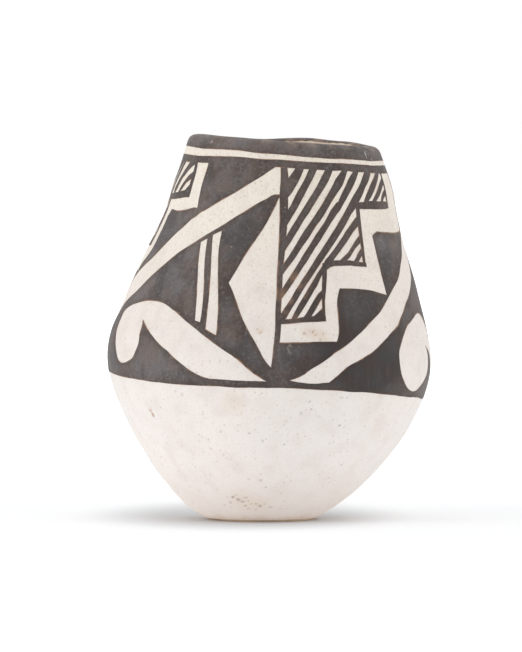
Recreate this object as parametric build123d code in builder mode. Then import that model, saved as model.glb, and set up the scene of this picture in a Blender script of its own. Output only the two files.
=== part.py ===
from build123d import *
from math import acos, asin, atan2, cos, degrees, radians, sin, sqrt
import os

# A small pueblo jar, coiled by hand: a base pressed out in a shallow mould, clay courses luted on
# above it, a white slip over the outside and a brown-black design painted on the slip.
# Millimetres and degrees. The origin is where the jar's own axis meets the floor, and the front
# looks along -Y. Heights run up the leaning axis and radii out from it.

# Shape of the clay wall
LEAN = 5.2  # tilt of the axis towards +X
HEIGHT = 103.4  # crown of the lip
LIP_R = 24.1  # middle of the lip
WALL = 4.2
BELLY_R = 43.6  # widest outside radius
BELLY_HEIGHT = 44.1
BELLY_BEND = 24.6  # radius of the belly's curve in section
LOWER_TURN = 23.3  # how far below the widest point the flatter lower curve takes over
FOOT_R = 16.2  # outside radius of the lower curve at floor level
FOOT_ROUND = 8.0
SOLE = 0.8  # how far the underside reaches below the floor before it is cut flat
BASE_THICK = 6.0
BASE_ROUND = 10.0  # where the inside floor meets the wall

# Clay courses
COILS = 7
BASE_TOP = 24.0  # first seam, on the outside
RIM_COIL = 7.4  # height of the last course below the crown
SCARF = 2.5  # how much lower each seam lies on the inside

# Slip and paint, measured down from the crown or from the widest point
SLIP = 0.4
SLIP_LOW = 3.0  # lower edge above the floor
SLIP_INSIDE = 4.9  # reach of the slip inside the mouth
PAINT = 0.2
RIM_BAND = 3.0
RIM_BAND_INSIDE = 3.4  # reach of the band inside the mouth
RIM_GAP = 1.6  # white line between the band and the top line
TOP_LINE = 1.6
FIELD_DROP = 5.9  # how far the figured field reaches below the widest point
BOTTOM_LINE = 1.3

# The design is painted three times round, each time from one upright bar to the next.
BAR_TURNS = (0.0, 128.5, 231.5)

# Figures, drawn on a chart 100 wide from bar to bar and 100 high over the figured field. Each is a
# ring of sides: two points make a straight side, and more points make a curve through them.
BAR = [
    [(-2.1, 100), (-0.9, 67), (0.0, 27), (0.6, 0)],
    [(0.6, 0), (2.2, 0)],
    [(2.2, 0), (1.9, 20), (1.3, 39), (1.4, 67), (0.8, 100)],
    [(0.8, 100), (-2.1, 100)],
]
STAIR = [
    [(0, 19), (9, 20.5), (18.4, 22)],
    [(18.4, 22), (19.1, 28), (19.1, 40), (20.2, 46.3)],
    [(20.2, 46.3), (30.4, 46.8), (39.4, 44.9)],
    [(39.4, 44.9), (38.3, 56), (38.1, 71.2)],
    [(38.1, 71.2), (41, 73.7)],
    [(41, 73.7), (53.7, 74.1), (62.6, 75)],
    [(62.6, 75), (62.4, 86), (62.8, 100)],
    [(62.8, 100), (0, 100)],
    [(0, 100), (0, 19)],
]
HATCHED = [
    [(0, 28), (7.8, 29.3), (14.6, 31.2)],
    [(14.6, 31.2), (15, 35)],
    [(15, 35), (15.4, 54)],
    [(15.4, 54), (17.5, 56)],
    [(17.5, 56), (30.6, 57.6)],
    [(30.6, 57.6), (32.2, 59.5)],
    [(32.2, 59.5), (33, 83.4)],
    [(33, 83.4), (54, 84.7)],
    [(54, 84.7), (54.2, 100)],
    [(54.2, 100), (0, 100)],
    [(0, 100), (0, 28)],
]
DIAGONAL = [
    [(6, 2), (20.2, 18.8), (34.2, 36.4), (46.7, 52.5), (61, 70.8), (76.7, 84.6), (96, 100)],
    [(96, 100), (100, 100)],
    [(100, 100), (100, 87.6)],
    [(100, 87.6), (92.2, 84.4), (76.7, 70.7), (61.1, 55.6), (46.7, 37.6), (31.1, 19.3), (22, 9.5)],
    [(22, 9.5), (17.5, 1.7)],
    [(17.5, 1.7), (6, 2)],
]
KITE = [
    [(98.8, 86.4), (92.2, 70.7), (84.2, 44.4)],
    [(84.2, 44.4), (88.5, 34.2), (92.2, 23.4), (100.7, 6.8)],
    [(100.7, 6.8), (100.6, 40), (98.8, 86.4)],
]
LONG_STRIPE = [
    [(73.9, 65.4), (77, 68)],
    [(77, 68), (78.9, 53.2), (81.5, 38.6), (83.7, 19.8)],
    [(83.7, 19.8), (80.2, 22.2)],
    [(80.2, 22.2), (78.9, 35.4), (76.5, 52.4), (73.9, 65.4)],
]
SHORT_STRIPE = [
    [(69.8, 61.7), (72.1, 63.6)],
    [(72.1, 63.6), (74.7, 48.5), (76.7, 36.8), (77.9, 25.1)],
    [(77.9, 25.1), (76, 25.8)],
    [(76, 25.8), (74.5, 36.3), (71.6, 52.4), (69.8, 61.7)],
]
HOOK = [
    [(99.8, 0.7), (86.8, 12.7), (71.8, 26.3), (59, 34), (48.5, 31.8), (41.2, 22.5), (43, 8.5),
     (50, 1.9), (57, 7.5), (58.2, 15), (57, 22.8)],
    [(57, 22.8), (63.4, 15.8), (68.9, 10.5), (76.7, 3.8), (85, 0.7)],
    [(85, 0.7), (99.8, 0.7)],
]
FIGURES = [STAIR, DIAGONAL, KITE, LONG_STRIPE, SHORT_STRIPE, HOOK]

# Slanting lines that fill the hatched steps
HATCH_FACING = 20.0  # turn from the bar to the plane that the lines are straight in
HATCH_SLOPE = 56.0
HATCH_PITCH = 3.3
HATCH_LINE = 1.8
HATCH_START = 2.5  # middle of the first line from the upper corner beside the bar
HATCH_BORDER = 1.2  # line along the steps

# Heights that the painted lines lie between
rim_band_low = HEIGHT - RIM_BAND
top_line_high = rim_band_low - RIM_GAP
field_high = top_line_high - TOP_LINE
field_low = BELLY_HEIGHT - FIELD_DROP
bottom_line_low = field_low - BOTTOM_LINE

# The section's centres and tangents
belly = Vector(BELLY_R - BELLY_BEND, BELLY_HEIGHT)
lip = Vector(LIP_R, HEIGHT - WALL / 2)
belly_to_lip = lip - belly
SHOULDER = degrees(
    atan2(belly_to_lip.Y, belly_to_lip.X) - acos((BELLY_BEND - WALL / 2) / belly_to_lip.length)
)
shoulder_out = Vector(1, 0).rotate(Axis.Z, SHOULDER)
lower_out = Vector(1, 0).rotate(Axis.Z, -LOWER_TURN)
belly_end = belly + lower_out * BELLY_BEND
foot_to_belly = belly_end - Vector(FOOT_R, 0)
LOWER_BEND = foot_to_belly.dot(foot_to_belly) / (2 * lower_out.dot(foot_to_belly))
lower = belly_end - lower_out * LOWER_BEND

jar = Plane.XY.rotated((0, LEAN, 0))
jar_axis = Axis(jar.origin, jar.z_dir)
REACH = 2 * (HEIGHT + BELLY_R)  # past the jar in every direction


def facing(turn):
    """The plane through the axis that looks out at this turn from the front."""
    return Plane(jar.location * Rot(Z=turn) * Rot(X=90))


def section(turn):
    """The plane through the axis whose x runs out along this turn."""
    return facing(turn - 90)


def wall_radius(height, depth):
    """Radius of the surface that lies this far outside the clay."""
    lower_bend = LOWER_BEND + depth
    belly_bend = BELLY_BEND + depth
    slope = radians(SHOULDER)
    if height < belly.Y - belly_bend * sin(radians(LOWER_TURN)):
        return lower.X + sqrt(lower_bend**2 - (height - lower.Y) ** 2)
    if height < belly.Y + belly_bend * sin(slope):
        return belly.X + sqrt(belly_bend**2 - (height - belly.Y) ** 2)
    return belly.X + (belly_bend - (height - belly.Y) * sin(slope)) / cos(slope)


def wall_curve(depth, low):
    """The wall's line at this depth from a low height to the lip: two arcs and a straight."""
    lower_bend = LOWER_BEND + depth
    low_angle = degrees(asin((low - lower.Y) / lower_bend))
    CenterArc(lower, lower_bend, low_angle, -LOWER_TURN - low_angle)
    CenterArc(belly, BELLY_BEND + depth, -LOWER_TURN, LOWER_TURN + SHOULDER)
    Line(belly + shoulder_out * (BELLY_BEND + depth), lip + shoulder_out * (depth + WALL / 2))


def wall_section(grow):
    """Half section of the whole wall, with both faces and the lip grown by a coat's thickness."""
    floor = BASE_THICK - SOLE
    foot = (wall_radius(-SOLE, grow), -SOLE)
    floor_edge = (wall_radius(floor, -WALL - grow), floor)
    with BuildSketch() as wall:
        with BuildLine():
            Line((0, -SOLE), foot)
            wall_curve(grow, -SOLE)
            CenterArc(lip, WALL / 2 + grow, SHOULDER, 180)
            wall_curve(-WALL - grow, floor)
            Line(floor_edge, (0, floor))
            Line((0, floor), (0, -SOLE))
        make_face()
        fillet(wall.vertices().sort_by_distance((*foot, 0))[0], FOOT_ROUND)
        fillet(wall.vertices().sort_by_distance((*floor_edge, 0))[0], BASE_ROUND)
    return wall.sketch


def core_section(high):
    """Everything inside the middle of the wall, up to a height."""
    with BuildSketch() as core:
        with BuildLine():
            Line((0, -SOLE), (wall_radius(-SOLE, -WALL / 2), -SOLE))
            wall_curve(-WALL / 2, -SOLE)
            Line(lip, (0, lip.Y))
            Line((0, lip.Y), (0, -SOLE))
        make_face()
        with Locations((0, high)):
            Rectangle(REACH, REACH, align=(Align.MIN, Align.MIN), mode=Mode.SUBTRACT)
    return core.sketch


def coat_section(under, over, low, high, inside):
    """Half section of a coat between two depths, from low to high, and over the lip to inside."""
    with BuildSketch() as coat:
        add(wall_section(over))
        add(wall_section(under), mode=Mode.SUBTRACT)
        add(core_section(inside), mode=Mode.SUBTRACT)
        with Locations((0, low)):
            Rectangle(REACH, high - low, align=(Align.MIN, Align.MIN), mode=Mode.INTERSECT)
    return coat.sketch


def seam(height):
    """A seam's line across the section from the axis out, given where it shows on the outside."""
    slope = SCARF / WALL
    outside = wall_radius(height, 0)
    inner_end = outside / 2
    inner_height = height - slope * (outside - inner_end)
    return [(0, inner_height), (inner_end, inner_height), (REACH, height + slope * (REACH - outside))]


def clay_course(lower_seam, upper_seam):
    """A ring of the clay wall between two seams."""
    with BuildPart() as course:
        with BuildSketch(section(0)):
            add(wall_section(0))
            Polygon(*lower_seam, *reversed(upper_seam), align=None, mode=Mode.INTERSECT)
        revolve(axis=jar_axis)
    return course.part


def coat_ring(under, over, low, high, inside):
    """A coat all the way round."""
    with BuildPart() as ring:
        with BuildSketch(section(0)):
            add(coat_section(under, over, low, high, inside))
        revolve(axis=jar_axis)
    return ring.part


def figure(bar, width, sides, middle):
    """A figure of the chart, flat on the plane that faces out at this turn from the bar."""
    with BuildSketch(facing(bar + middle)) as shape:
        with BuildLine():
            for side in sides:
                points = []
                for across, up in side:
                    height = field_low + up / 100 * (field_high - field_low)
                    turn = radians(across / 100 * width - middle)
                    points.append((wall_radius(height, SLIP + PAINT) * sin(turn), height))
                if len(points) == 2:
                    Line(*points)
                else:
                    Spline(*points)
        make_face()
    return shape


def centred_figure(bar, width, sides):
    """A figure on the plane that faces its own middle."""
    across = [point[0] for side in sides for point in side]
    return figure(bar, width, sides, (min(across) + max(across)) / 200 * width).sketch


def hatch_lines(bar, width):
    """The line along the steps and the slanting lines within them."""
    steps = figure(bar, width, HATCHED, HATCH_FACING).sketch_local
    corner = Vector(wall_radius(field_high, SLIP + PAINT) * sin(radians(-HATCH_FACING)), field_high)
    down_right = Vector(0, -1).rotate(Axis.Z, HATCH_SLOPE)
    across = max(down_right.dot(Vector(*vertex) - corner) for vertex in steps.vertices())
    with BuildSketch() as lines:
        for number in range(int((across - HATCH_START) / HATCH_PITCH) + 1):
            with Locations(corner + down_right * (HATCH_START + number * HATCH_PITCH)):
                Rectangle(2 * REACH, HATCH_LINE, rotation=HATCH_SLOPE)
        add(steps, mode=Mode.INTERSECT)
    with BuildSketch(facing(bar + HATCH_FACING)) as shape:
        add(steps)
        add(steps.moved(Pos(-HATCH_BORDER, HATCH_BORDER)), mode=Mode.SUBTRACT)
        add(lines.sketch)
    return shape.sketch


def turn_of(solid):
    """Turn of a solid's middle from the front, from 0 to 360."""
    middle = jar.to_local_coords(solid.center())
    return degrees(atan2(middle.X, -middle.Y)) % 360


os.makedirs("parts", exist_ok=True)
finished = []

# Base, pressed out in the mould and set down on the floor while soft
coil_height = (HEIGHT - RIM_COIL - BASE_TOP) / COILS
seams = [seam(BASE_TOP + number * coil_height) for number in range(COILS + 1)]
with BuildPart() as base_bowl:
    add(clay_course([(0, -REACH), (REACH, -REACH)], seams[0]))
    split(bisect_by=Plane.XY, keep=Keep.TOP)
base_bowl.part.label = "base_bowl"
finished.append(base_bowl.part)

# Wall coils, each lapped onto the inside of the one below
for number in range(COILS):
    wall_coil = clay_course(seams[number], seams[number + 1])
    wall_coil.label = f"wall_coil_{number + 1}"
    finished.append(wall_coil)

# Rim coil, with its rounded lip
rim_coil = clay_course(seams[COILS], [(0, 2 * REACH), (REACH, 2 * REACH)])
rim_coil.label = "rim_coil"
finished.append(rim_coil)

# White slip over the outside and the lip
white_slip = coat_ring(0, SLIP, SLIP_LOW, REACH, HEIGHT - SLIP_INSIDE)
white_slip.label = "white_slip"
finished.append(white_slip)

# Painted rings
rim_band = coat_ring(SLIP, SLIP + PAINT, rim_band_low, REACH, HEIGHT - RIM_BAND_INSIDE)
rim_band.label = "rim_band"
finished.append(rim_band)
top_line = coat_ring(SLIP, SLIP + PAINT, field_high, top_line_high, top_line_high)
top_line.label = "top_line"
finished.append(top_line)
bottom_line = coat_ring(SLIP, SLIP + PAINT, bottom_line_low, field_low, field_low)
bottom_line.label = "bottom_line"
finished.append(bottom_line)

# Painted panels: dark ground with the white figures left open, bars between, and hatched steps
film = coat_ring(SLIP, SLIP + PAINT, field_low, field_high, field_high)
panels = []
for number, bar in enumerate(BAR_TURNS):
    next_bar = BAR_TURNS[(number + 1) % len(BAR_TURNS)]
    panels.append((bar, (next_bar - bar) % 360))

with BuildPart() as ground:
    add(film)
    for bar, width in panels:
        for sides in [BAR, *FIGURES]:
            extrude(centred_figure(bar, width, sides), amount=REACH, mode=Mode.SUBTRACT)

for number, (bar, width) in enumerate(panels, start=1):
    bar_strip = centred_figure(bar, width, BAR)
    with BuildPart() as panel_bar:
        add(film)
        extrude(bar_strip, amount=REACH, mode=Mode.INTERSECT)
    panel_bar.part.label = f"panel_bar_{number}"
    finished.append(panel_bar.part)

    with BuildPart() as panel_fill:
        add([solid for solid in ground.solids() if bar <= turn_of(solid) < bar + width])
    panel_fill.part.label = f"panel_fill_{number}"
    finished.append(panel_fill.part)

    with BuildPart() as hatching:
        add(film)
        extrude(hatch_lines(bar, width), amount=REACH, mode=Mode.INTERSECT)
        extrude(bar_strip, amount=REACH, mode=Mode.SUBTRACT)
    hatching.part.label = f"hatching_{number}"
    finished.append(hatching.part)

for piece in finished:
    export_step(piece, f"parts/{piece.label}.step")
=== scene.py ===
from math import acos, asin, atan2, ceil, cos, degrees, exp, hypot, pi, radians, sin, sqrt

import bmesh
import bpy
from mathutils import Matrix, Vector, noise
from mathutils.bvhtree import BVHTree
from mathutils.kdtree import KDTree


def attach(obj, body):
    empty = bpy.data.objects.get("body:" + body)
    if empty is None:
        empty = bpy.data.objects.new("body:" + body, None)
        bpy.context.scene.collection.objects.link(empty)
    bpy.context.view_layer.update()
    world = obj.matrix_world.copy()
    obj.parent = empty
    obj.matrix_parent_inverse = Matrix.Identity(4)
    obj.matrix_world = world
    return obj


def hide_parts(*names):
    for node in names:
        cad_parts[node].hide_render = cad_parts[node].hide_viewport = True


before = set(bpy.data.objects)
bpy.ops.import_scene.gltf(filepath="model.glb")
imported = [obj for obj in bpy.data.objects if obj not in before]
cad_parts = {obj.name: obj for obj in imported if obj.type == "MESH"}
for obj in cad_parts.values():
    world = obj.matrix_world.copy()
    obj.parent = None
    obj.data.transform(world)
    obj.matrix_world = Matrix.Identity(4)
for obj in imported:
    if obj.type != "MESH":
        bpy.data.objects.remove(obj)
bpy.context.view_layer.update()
scene = bpy.context.scene

# Base bowl: a pancake of buff clay, pressed out in a shallow mould and set down while soft, so its foot
# is flat and the jar leans a little. Its section is drawn in millimetres on the upright jar, turned about
# the axis, pushed about as a hand leaves it, and only then leant over.
LEAN = 5.2
HEIGHT = 103.4
LIP_R = 24.1
WALL = 4.2
BELLY_R = 43.6
BELLY_HEIGHT = 44.1
BELLY_BEND = 24.6
LOWER_TURN = radians(23.3)
FOOT_R = 16.2
FOOT_ROUND = 15
SOLE = 0.8
BASE_THICK = 6
BASE_ROUND = 10
COILS = 7
BASE_TOP = 24
RIM_COIL = 7.4
SCARF = 2.5
COIL_RIPPLE = 0.3
INNER = 0.8
CLAY_STEP = 1.4
CLAY_TURNS = 144
SOLE_INSET = 3
CREASE = radians(40)
MILLIMETRE = 0.001

belly = Vector((BELLY_R - BELLY_BEND, BELLY_HEIGHT))
lip = Vector((LIP_R, HEIGHT - WALL / 2))
belly_to_lip = lip - belly
SHOULDER = atan2(belly_to_lip.y, belly_to_lip.x) - acos((BELLY_BEND - WALL / 2) / belly_to_lip.length)
lower_out = Vector((cos(LOWER_TURN), -sin(LOWER_TURN)))
belly_end = belly + lower_out * BELLY_BEND
foot_to_belly = belly_end - Vector((FOOT_R, 0))
LOWER_BEND = foot_to_belly.dot(foot_to_belly) / (2 * lower_out.dot(foot_to_belly))
lower = belly_end - lower_out * LOWER_BEND
inside_floor = BASE_THICK - SOLE
coil_height = (HEIGHT - RIM_COIL - BASE_TOP) / COILS


def nestled(height, reach):
    """Centre of a corner's round at this height, so far from the lower curve's own centre."""
    return Vector((lower.x + sqrt(reach**2 - (height - lower.y) ** 2), height))


foot_round = nestled(FOOT_ROUND - SOLE, LOWER_BEND - FOOT_ROUND)
floor_round = nestled(inside_floor + BASE_ROUND, LOWER_BEND - WALL - BASE_ROUND)
FOOT_ANGLE = atan2(foot_round.y - lower.y, foot_round.x - lower.x)
FLOOR_ANGLE = atan2(floor_round.y - lower.y, floor_round.x - lower.x)


def wall_radius(height, depth):
    """Radius of the surface that lies this far outside the clay."""
    lower_bend = LOWER_BEND + depth
    belly_bend = BELLY_BEND + depth
    if height < belly.y - belly_bend * sin(LOWER_TURN):
        return lower.x + sqrt(lower_bend**2 - (height - lower.y) ** 2)
    if height < belly.y + belly_bend * sin(SHOULDER):
        return belly.x + sqrt(belly_bend**2 - (height - belly.y) ** 2)
    return belly.x + (belly_bend - (height - belly.y) * sin(SHOULDER)) / cos(SHOULDER)


def run_to(outline, end, x, z, step):
    """A straight side of a section, divided into steps."""
    way = Vector((x, 0, z)) - end.co
    steps = max(1, ceil(way.length / step))
    made = bmesh.ops.spin(
        outline, geom=[end], cent=(0, 0, 0), axis=(0, -1, 0), dvec=way / steps, angle=0, steps=steps
    )
    return made["geom_last"][0]


def bend_round(outline, end, centre, turn, step):
    """A round side of a section, turned about its centre, divided into steps."""
    middle = Vector((centre.x, 0, centre.y))
    steps = max(4, ceil((end.co - middle).length * abs(turn) / step))
    made = bmesh.ops.spin(outline, geom=[end], cent=middle, axis=(0, -1, 0), angle=turn, steps=steps)
    return made["geom_last"][0]


def outside_line(outline, end, depth, step):
    """From the foot's rounding up the outside of the wall, over the belly and on to the lip."""
    end = bend_round(outline, end, foot_round, FOOT_ANGLE + pi / 2, step)
    end = bend_round(outline, end, lower, -LOWER_TURN - FOOT_ANGLE, step)
    end = bend_round(outline, end, belly, LOWER_TURN + SHOULDER, step)
    reach = WALL / 2 + depth
    return run_to(outline, end, lip.x + reach * cos(SHOULDER), lip.y + reach * sin(SHOULDER), step)


def wall_outline():
    """Section of the whole clay wall, from the axis under the foot, round and back to the axis."""
    outline = bmesh.new()
    end = outline.verts.new((0, 0, -SOLE))
    end = run_to(outline, end, foot_round.x, -SOLE, CLAY_STEP)
    end = outside_line(outline, end, 0, CLAY_STEP)
    end = bend_round(outline, end, lip, pi, CLAY_STEP / 3)
    inner_bend = BELLY_BEND - WALL
    inner_shoulder = belly + Vector((cos(SHOULDER), sin(SHOULDER))) * inner_bend
    end = run_to(outline, end, inner_shoulder.x, inner_shoulder.y, CLAY_STEP)
    end = bend_round(outline, end, belly, -LOWER_TURN - SHOULDER, CLAY_STEP)
    end = bend_round(outline, end, lower, FLOOR_ANGLE + LOWER_TURN, CLAY_STEP)
    end = bend_round(outline, end, floor_round, -pi / 2 - FLOOR_ANGLE, CLAY_STEP)
    run_to(outline, end, 0, inside_floor, CLAY_STEP)
    return outline


def cut_at_seam(outline, height, keep_above):
    """Parts a section along a course's slanting seam and draws the seam across it."""
    slope = atan2(SCARF, WALL)
    upper = [part for part in outline.verts if part.co.z > BASE_TOP / 2]
    sides = {side for part in upper for side in part.link_edges}
    cut = bmesh.ops.bisect_plane(
        outline,
        geom=upper + list(sides),
        dist=1e-4,
        plane_co=(wall_radius(height, 0), 0, height),
        plane_no=(-sin(slope), 0, cos(slope)),
        clear_inner=keep_above,
        clear_outer=not keep_above,
    )
    ends = [part for part in cut["geom_cut"] if isinstance(part, bmesh.types.BMVert)]
    if keep_above:
        low = [part for part in outline.verts if part.co.z < BASE_TOP / 2]
        bmesh.ops.delete(outline, geom=low, context="VERTS")
    side = outline.edges.new(ends)
    bmesh.ops.subdivide_edges(outline, edges=[side], cuts=2)


def spun(outline, turns):
    """A section turned into a full ring about the jar's axis."""
    parts = outline.verts[:] + outline.edges[:]
    bmesh.ops.spin(
        outline, geom=parts, cent=(0, 0, 0), axis=(0, 0, 1), angle=2 * pi, steps=turns, use_merge=True
    )
    bmesh.ops.remove_doubles(outline, verts=outline.verts, dist=1e-3)
    bmesh.ops.recalc_face_normals(outline, faces=outline.faces)


# How the hand-worked jar differs from a turned one: the axis bows, the wall swells or hollows by height
# and is a little lumpy, and the lip is not quite level. Bow and swell are given as heights and shifts.
BOW = (
    (0, -1.1), (9, -0.5), (17, -0.18), (25, -0.12), (36, -0.4),
    (57, 0.36), (80, 0.24), (92, -0.2), (104, -1.15),
)
SWELL = (
    (0, -1.7), (3, -1.1), (6, -0.55), (11, 0.1), (27, 0.46), (40, 0.12),
    (56, 0.1), (66, -0.12), (81, -0.8), (94, -0.05), (104, 0),
)
LUMP = 0.22
LUMP_SIZE = 26
LUMPS_ROUND = 1.7
LUMPS_START = 4
LUMPS_FULL = 18
LIP_FROM = 80
LIP_TILT = 0.55
LIP_WAVE = 0.2
LIP_WAVES = 1.3
LIP_PULL = 0.55
# Where the lip rises or dips: turn, reach in turn, and by how much
LIP_RISES = (
    (157, 25, 0.88), (150, 11, -0.28), (126, 15, 0.25), (196, 14, -0.45),
    (222, 18, -0.35), (-55, 24, 0.24), (3, 25, 0.08),
)


def ramp(value, start, end):
    """Zero before the start, one past the end, and even between them."""
    return min(1.0, max(0.0, (value - start) / (end - start)))


def turn_from(start, turn):
    """The shorter way round from one turn to another."""
    return (turn - start + 180) % 360 - 180


def by_height(points, height):
    """A shift at a height, eased between the set points."""
    for (low, shift), (high, next_shift) in zip(points, points[1:]):
        if height < high:
            return shift + (next_shift - shift) * (0.5 - 0.5 * cos(pi * ramp(height, low, high)))
    return points[-1][1]


def worked(point):
    """Where the hand-worked jar has a point of the turned one."""
    bow = by_height(BOW, point.z)
    out = Vector((point.x, point.y, 0))
    if out.length < 1e-3:
        return point + Vector((bow, 0, 0))
    out.normalize()
    free = ramp(point.z, LUMPS_START, LUMPS_FULL)
    lump_spot = Vector((out.x * LUMPS_ROUND, out.y * LUMPS_ROUND, point.z / LUMP_SIZE))
    lump = LUMP * free * noise.noise(lump_spot)
    near_lip = max(0.0, (point.z - LIP_FROM) / (HEIGHT - LIP_FROM)) ** 2
    wave_spot = Vector((out.x * LIP_WAVES + 7, out.y * LIP_WAVES, 0.5))
    wave = LIP_TILT * out.x + LIP_WAVE * noise.noise(wave_spot)
    turn = degrees(atan2(out.x, -out.y))
    for at_turn, reach, rise in LIP_RISES:
        wave += rise * exp(-((turn_from(at_turn, turn) / reach) ** 2))
    pull = LIP_PULL * max(0.0, out.x) ** 2 * near_lip**2
    return point + out * (lump + by_height(SWELL, point.z) - pull) + Vector((bow, 0, wave * near_lip))


leant = Matrix.Rotation(radians(LEAN), 4, "Y")
to_frame = Matrix.Scale(MILLIMETRE, 4) @ leant


def set_in_place(shape):
    """Works the turned shape as by hand, leans it and brings it to the frame's metres."""
    for corner in shape.verts:
        corner.co = worked(corner.co)
    bmesh.ops.transform(shape, matrix=to_frame, verts=shape.verts)


def shown(shape, name, material):
    """Puts a shape in the scene under its name, in its material."""
    mesh = bpy.data.meshes.new(name)
    shape.to_mesh(mesh)
    shape.free()
    mesh.materials.append(material)
    made = bpy.data.objects.new(name, mesh)
    scene.collection.objects.link(made)
    return made


def finished_piece(shape, name, material, slot, *nodes):
    """Makes a shape a piece of the jar that stands for its CAD nodes."""
    shape.normal_update()
    for face in shape.faces:
        face.smooth = True
    for side in shape.edges:
        side.smooth = side.is_manifold and side.calc_face_angle(0) < CREASE
    piece = shown(shape, name, material)
    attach(piece, "root")
    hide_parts(*nodes)


def add_node(tree, kind, feeds=None, **settings):
    """A shader node with its settings, and its sockets set or linked."""
    made = tree.nodes.new("ShaderNode" + kind)
    for name, value in settings.items():
        setattr(made, name, value)
    for socket, value in (feeds or {}).items():
        if isinstance(value, bpy.types.NodeSocket):
            tree.links.new(value, made.inputs[socket])
        else:
            made.inputs[socket].default_value = value
    return made


def mixed(tree, share, first, second):
    """One colour over another by a share."""
    return add_node(tree, "Mix", {0: share, 6: first, 7: second}, data_type="RGBA").outputs[2]


def math(tree, operation, *values):
    """A sum on one or two values."""
    return add_node(tree, "Math", dict(enumerate(values)), operation=operation).outputs[0]


def share_between(tree, value, start, end, most=1.0, kind="LINEAR"):
    """A share that goes from nothing at the start to the most at the end."""
    feeds = {"Value": value, "From Min": start, "From Max": end, "To Max": most}
    return add_node(tree, "MapRange", feeds, interpolation_type=kind).outputs[0]


def uneven(tree, position, scale, detail):
    """Unevenness of one size, as a value and as a colour."""
    return add_node(tree, "TexNoise", {"Vector": position, "Scale": scale, "Detail": detail}).outputs


def stretched(tree, position, scale):
    """Coordinates scaled by axis, so that what is laid on them is drawn out."""
    return add_node(tree, "Mapping", {"Vector": position, "Scale": scale}).outputs[0]


def share_group(name, **values):
    """A node group that gives a share at a position, by values of its own."""
    group = bpy.data.node_groups.new(name, "ShaderNodeTree")
    group.interface.new_socket("Position", in_out="INPUT", socket_type="NodeSocketVector")
    for socket, value in values.items():
        made = group.interface.new_socket(socket, in_out="INPUT", socket_type="NodeSocketFloat")
        made.default_value = value
    group.interface.new_socket("Share", in_out="OUTPUT", socket_type="NodeSocketFloat")
    given = group.nodes.new("NodeGroupInput").outputs
    return group, given, group.nodes.new("NodeGroupOutput").inputs["Share"]


# Clouding: soft patches, from a fired clay's uneven colour to stains
clouding, given, share_out = share_group("clouding", Scale=50.0, Detail=4.0, Low=0.4, High=0.6)
patches = uneven(clouding, given["Position"], given["Scale"], given["Detail"])[0]
patch_share = share_between(clouding, patches, given["Low"], given["High"], 1, "SMOOTHSTEP")
clouding.links.new(patch_share, share_out)

# Specks: grains of temper, pores and chips, each in a cell of its own and only in some cells
specks, given, share_out = share_group("specks", Scale=400.0, Amount=0.2, Size=0.3)
cells = add_node(specks, "TexVoronoi", {"Vector": given["Position"], "Scale": given["Scale"]}).outputs
chance = add_node(specks, "SeparateColor", {0: cells["Color"]}).outputs
in_cell = math(specks, "LESS_THAN", chance[0], given["Amount"])
speck_size = math(specks, "MULTIPLY", chance[1], given["Size"])
speck_shape = share_between(specks, cells["Distance"], speck_size, 0, 1, "SMOOTHSTEP")
specks.links.new(math(specks, "MULTIPLY", speck_shape, in_cell), share_out)


def clouds(tree, position, scale, detail, low, high):
    """A share that comes and goes in soft patches."""
    feeds = {"Position": position, "Scale": scale, "Detail": detail, "Low": low, "High": high}
    return add_node(tree, "Group", feeds, node_tree=clouding).outputs[0]


def speckle(tree, position, scale, amount, size):
    """A share that is one in scattered specks."""
    feeds = {"Position": position, "Scale": scale, "Amount": amount, "Size": size}
    return add_node(tree, "Group", feeds, node_tree=specks).outputs[0]


def new_material(name):
    """A material with its tree, its surface and its object coordinates."""
    material = bpy.data.materials.new(name)
    material.use_nodes = True
    tree = material.node_tree
    position = add_node(tree, "TexCoord").outputs["Object"]
    return material, tree, tree.nodes["Principled BSDF"], position


def add_bump(tree, surface, height, strength, distance):
    """Fine relief on a surface."""
    bump = add_node(tree, "Bump", {"Height": height, "Strength": strength, "Distance": distance})
    tree.links.new(bump.outputs[0], surface.inputs["Normal"])


# Bare clay: buff, smoky in places, with sand and crushed sherd in it
BUFF = (0.46, 0.33, 0.22, 1)
BUFF_PALE = (0.56, 0.43, 0.31, 1)
BUFF_SMOKED = (0.24, 0.17, 0.12, 1)
TEMPER_DARK = (0.1, 0.075, 0.06, 1)
TEMPER_PALE = (0.66, 0.58, 0.48, 1)
bare_clay, tree, surface, position = new_material("bare_buff_clay")
colour = mixed(tree, clouds(tree, position, 45, 4, 0.35, 0.65), BUFF, BUFF_PALE)
colour = mixed(tree, clouds(tree, position, 28, 3, 0.52, 0.8), colour, BUFF_SMOKED)
colour = mixed(tree, speckle(tree, position, 650, 0.3, 0.42), colour, TEMPER_DARK)
colour = mixed(tree, speckle(tree, position, 420, 0.25, 0.4), colour, TEMPER_PALE)
tree.links.new(colour, surface.inputs["Base Color"])
surface.inputs["Roughness"].default_value = 0.85
wipe_marks = uneven(tree, stretched(tree, position, (90, 90, 700)), 1, 3)[0]
sand = uneven(tree, position, 1500, 2)[0]
relief = math(tree, "ADD", wipe_marks, math(tree, "MULTIPLY", sand, 0.5))
add_bump(tree, surface, relief, 0.5, 0.0003)


def ripple_inside(shape):
    """The coils still show as soft ripples on the inside, where the wall is only wiped."""
    for corner in shape.verts:
        out = Vector((corner.co.x, corner.co.y, 0))
        height = corner.co.z
        if BASE_TOP - SCARF < height < HEIGHT - WALL and out.length < wall_radius(height, -WALL * INNER):
            phase = (height - BASE_TOP + SCARF) / coil_height
            corner.co += out.normalized() * COIL_RIPPLE * cos(2 * pi * phase)


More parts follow.
